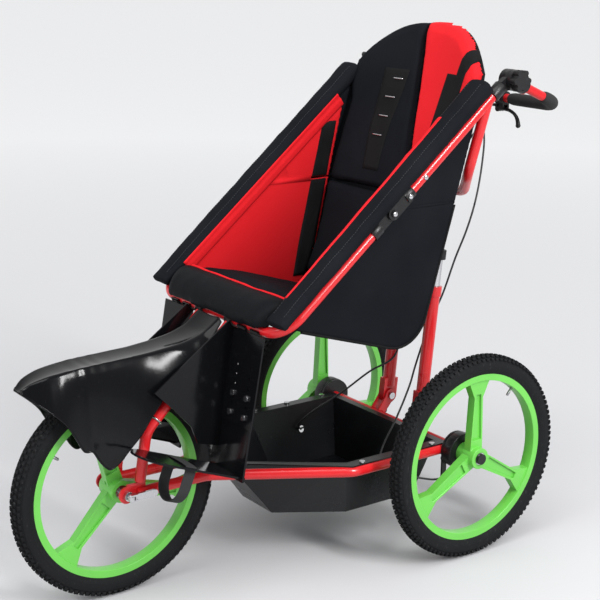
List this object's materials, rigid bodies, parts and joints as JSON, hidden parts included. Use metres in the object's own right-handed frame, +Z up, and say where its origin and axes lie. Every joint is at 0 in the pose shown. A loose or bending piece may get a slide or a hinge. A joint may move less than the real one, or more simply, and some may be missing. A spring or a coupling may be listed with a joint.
{
  "type": "special needs buggy",
  "caption": "All-terrain special needs buggy with a tilting bucket seat, folding back, pneumatic mag wheels, storage tray, foot panels, mudguard and braked push handle.",
  "frame": {"origin": "on the ground under the middle of the overall length, on the plane of symmetry", "axes": "+Z up, the front wheel towards -Y, +X to the rider's left"},
  "size_m": [0.6734, 1.3659, 1.2559],
  "materials": {
    "red_paint": "gloss powder coat",
    "green_wheel": "moulded gloss",
    "tyre_black": "matt rubber",
    "steel": "bright",
    "black_metal": "satin black",
    "gloss_black": "thermoformed gloss",
    "matte_black": "matt moulded",
    "black_fabric": "woven",
    "red_fabric": "woven",
    "black_rubber": "foam and sheath"
  },
  "bodies": {
    "chassis": {"axle_tube": "red_paint", "frame_side_left": "red_paint", "frame_side_right": "red_paint", "fork_dropouts": "red_paint", "fork_left": "red_paint", "fork_right": "red_paint", "seat_pivot_clamps": "black_metal", "front_axle": "steel", "rear_axles": "black_metal", "brake_plates": "black_metal", "storage_tray": "gloss_black", "calf_panel_left": "gloss_black", "calf_panel_right": "gloss_black", "foot_plates": "gloss_black", "foot_straps": "black_fabric", "panel_bolts": "steel", "mudguard": "gloss_black", "strut_brackets": "red_paint", "strut_pivot_bolts": "steel", "brake_cable_left": "black_rubber", "brake_cable_right": "black_rubber"},
    "front_wheel": {"front_wheel": "green_wheel", "front_tyre": "tyre_black", "front_bearings": "steel"},
    "rear_wheel_left": {"rear_wheel_left": "green_wheel", "rear_tyre_left": "tyre_black", "rear_bearings_left": "steel", "brake_drum_left": "black_metal"},
    "rear_wheel_right": {"rear_wheel_right": "green_wheel", "rear_tyre_right": "tyre_black", "rear_bearings_right": "steel", "brake_drum_right": "black_metal"},
    "seat_frame": {"seat_loop": "red_paint", "hinge_lower": "black_metal", "seat_shell": "black_fabric", "seat_cushion": "black_fabric", "front_roll": "black_fabric", "lumbar_pad": "black_fabric", "side_liners_lower": "red_fabric", "rail_pads_lower": "black_fabric"},
    "strut_outer": {"strut_tubes": "red_paint"},
    "strut_inner": {"strut_rods": "steel", "strut_collars": "matte_black"},
    "back_frame": {"back_hoop": "red_paint", "hinge_upper": "black_metal", "back_shell": "black_fabric", "back_pad_left": "red_fabric", "back_pad_right": "black_fabric", "side_liners_upper": "red_fabric", "rail_pads_upper": "black_fabric", "handle_necks": "black_metal"},
    "handle": {"handlebar": "red_paint", "grips": "black_rubber", "knuckle_knobs": "matte_black", "lever_perches": "black_metal"},
    "brake_lever_left": {"brake_lever_left": "black_metal"},
    "brake_lever_right": {"brake_lever_right": "black_metal"},
    "brake_arm_left": {"brake_arm_left": "black_metal"},
    "brake_arm_right": {"brake_arm_right": "black_metal"},
    "quick_release": {"quick_release_lever": "steel"}
  },
  "joints": [
    {"name": "front_wheel_spin", "type": "hinge", "parent": "chassis", "child": "front_wheel", "pos_m": [0, -0.42825, 0.254], "axis": [1, 0, 0], "continuous": true},
    {"name": "rear_wheel_left_spin", "type": "hinge", "parent": "chassis", "child": "rear_wheel_left", "pos_m": [0.304, 0.38375, 0.254], "axis": [1, 0, 0], "continuous": true},
    {"name": "rear_wheel_right_spin", "type": "hinge", "parent": "chassis", "child": "rear_wheel_right", "pos_m": [-0.304, 0.38375, 0.254], "axis": [1, 0, 0], "continuous": true},
    {"name": "seat_tilt", "type": "hinge", "parent": "chassis", "child": "seat_frame", "pos_m": [0, -0.15125, 0.622], "axis": [1, 0, 0], "range_deg": [-6, 4], "deforming": ["brake_cable_left", "brake_cable_right"]},
    {"name": "strut_swing", "type": "hinge", "parent": "chassis", "child": "strut_outer", "pos_m": [0, 0.42275, 0.3], "axis": [1, 0, 0], "range_deg": [-3.6, 2.6]},
    {"name": "strut_slide", "type": "slide", "parent": "strut_outer", "child": "strut_inner", "axis": [0, 0.0934, 0.9956], "range_m": [-0.066, 0.046]},
    {"name": "backrest_fold", "type": "hinge", "parent": "seat_frame", "child": "back_frame", "pos_m": [0, 0.14343, 0.86665], "axis": [1, 0, 0], "range_deg": [0, 135], "deforming": ["brake_cable_left", "brake_cable_right", "rail_pads_lower", "rail_pads_upper"]},
    {"name": "handle_tilt", "type": "hinge", "parent": "back_frame", "child": "handle", "pos_m": [0, 0.49875, 1.146], "axis": [1, 0, 0], "range_deg": [-40, 75], "deforming": ["brake_cable_left", "brake_cable_right"]},
    {"name": "brake_lever_left_squeeze", "type": "hinge", "parent": "handle", "child": "brake_lever_left", "pos_m": [0.048, 0.66675, 1.049], "axis": [0, -1, 0], "range_deg": [0, 18], "stiffness_Nm_per_rad": 1.2, "springref_deg": -5.73, "deforming": ["brake_cable_left"]},
    {"name": "brake_lever_right_squeeze", "type": "hinge", "parent": "handle", "child": "brake_lever_right", "pos_m": [-0.048, 0.66675, 1.049], "axis": [0, 1, 0], "range_deg": [0, 18], "stiffness_Nm_per_rad": 1.2, "springref_deg": -5.73, "deforming": ["brake_cable_right"]},
    {"name": "brake_arm_left_swing", "type": "hinge", "parent": "chassis", "child": "brake_arm_left", "pos_m": [0.2351, 0.35375, 0.232], "axis": [-1, 0, 0], "range_deg": [0, 12.5], "deforming": ["brake_cable_left"]},
    {"name": "brake_arm_right_swing", "type": "hinge", "parent": "chassis", "child": "brake_arm_right", "pos_m": [-0.2351, 0.35375, 0.232], "axis": [-1, 0, 0], "range_deg": [0, 12.5], "deforming": ["brake_cable_right"]},
    {"name": "quick_release_flip", "type": "hinge", "parent": "chassis", "child": "quick_release", "pos_m": [0.0737, -0.42825, 0.254], "axis": [0, 0, -1], "range_deg": [0, 120]}
  ],
  "couplings": [
    {"joint": "strut_swing", "follows": "seat_tilt", "ratio": 0.53133},
    {"joint": "strut_slide", "follows": "seat_tilt", "m_per_rad": 0.60487},
    {"joint": "brake_arm_left_swing", "follows": "brake_lever_left_squeeze", "ratio": 0.667},
    {"joint": "brake_arm_right_swing", "follows": "brake_lever_right_squeeze", "ratio": 0.667}
  ]
}
